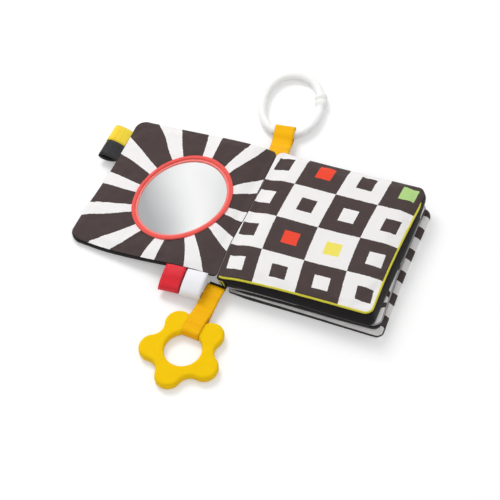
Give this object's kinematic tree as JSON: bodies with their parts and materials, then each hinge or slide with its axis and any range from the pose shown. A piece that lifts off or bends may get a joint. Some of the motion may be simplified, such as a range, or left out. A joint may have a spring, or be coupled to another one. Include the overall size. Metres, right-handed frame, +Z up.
{
  "type": "padded fabric baby book",
  "caption": "Soft padded book lying open, with a round mirror, ribbon tags, a link ring on a tab and a flower teether on a strap.",
  "frame": {"origin": "middle of the flat underside of the back cover, on the surface that the book lies on", "axes": "+X across the spread to the back cover's free edge, +Y along the spine towards the link ring, +Z up from the surface"},
  "size_m": [0.3243, 0.3937, 0.0286],
  "materials": {
    "printed_cotton": "matt",
    "black_cotton": "matt",
    "wadding": "matt",
    "yellow_edging": "matt",
    "mirror_film": "polished",
    "coral_binding": "matt",
    "yellow_satin": "satin",
    "black_satin": "satin",
    "red_satin": "satin",
    "white_satin": "satin",
    "amber_satin": "satin",
    "white_plastic": "semi-gloss",
    "yellow_silicone": "satin"
  },
  "bodies": {
    "spine_and_back_cover": {"back_cover_inner_face": "printed_cotton", "back_cover_outer_face": "black_cotton", "back_cover_wadding": "wadding", "back_cover_edging": "black_cotton", "spine_outer_face": "black_cotton", "spine_inner_face": "black_cotton", "spine_wadding": "wadding", "spine_edging_near": "yellow_edging", "spine_edging_far": "yellow_edging", "strap_hem": "black_cotton"},
    "front_cover": {"front_cover_inner_face": "printed_cotton", "front_cover_outer_face": "black_cotton", "front_cover_wadding": "wadding", "mirror_sheet": "mirror_film", "mirror_binding": "coral_binding", "tag_yellow": "yellow_satin", "tag_black": "black_satin", "tag_red": "red_satin", "tag_white": "white_satin"},
    "middle_leaf": {"middle_leaf_front_face": "printed_cotton", "middle_leaf_back_face": "black_cotton", "middle_leaf_wadding": "wadding", "middle_leaf_edging": "printed_cotton"},
    "check_leaf": {"check_leaf_front_face": "printed_cotton", "check_leaf_back_face": "black_cotton", "check_leaf_wadding": "wadding", "check_leaf_edging": "yellow_edging"},
    "ring_tab": {"ring_tab": "amber_satin"},
    "link_ring": {"link_ring": "white_plastic"},
    "teether_strap": {"teether_strap": "amber_satin"},
    "teether": {"teether": "yellow_silicone"}
  },
  "joints": [
    {"name": "front_cover_fold", "type": "hinge", "parent": "spine_and_back_cover", "child": "front_cover", "pos_m": [-0.0835, 0, 0.0188], "axis": [0, 1, 0], "range_deg": [-70, 160]},
    {"name": "middle_leaf_fold", "type": "hinge", "parent": "spine_and_back_cover", "child": "middle_leaf", "pos_m": [-0.0779, 0, 0.0188], "axis": [0, 1, 0], "range_deg": [-12, 0]},
    {"name": "check_leaf_fold", "type": "hinge", "parent": "middle_leaf", "child": "check_leaf", "pos_m": [-0.0779, 0, 0.0188], "axis": [0, 1, 0], "range_deg": [-152, 0]},
    {"name": "ring_tab_bend", "type": "hinge", "parent": "spine_and_back_cover", "child": "ring_tab", "pos_m": [-0.0805, 0.0795, 0.0155], "axis": [-0.9882, -0.153, 0], "range_deg": [-70, 60]},
    {"name": "link_ring_swing", "type": "hinge", "parent": "ring_tab", "child": "link_ring", "pos_m": [-0.08607, 0.11547, 0.0056], "axis": [-0.9882, -0.153, 0], "range_deg": [-90, 90], "deforming": ["ring_tab"]},
    {"name": "teether_strap_bend", "type": "hinge", "parent": "spine_and_back_cover", "child": "teether_strap", "pos_m": [-0.0815, -0.0876, 0.01], "axis": [0.996, -0.0889, 0], "range_deg": [-80, 60]},
    {"name": "teether_swing", "type": "hinge", "parent": "teether_strap", "child": "teether", "pos_m": [-0.08569, -0.13451, 0.0054], "axis": [0.996, -0.0889, 0], "range_deg": [-90, 90], "deforming": ["teether_strap"]}
  ]
}
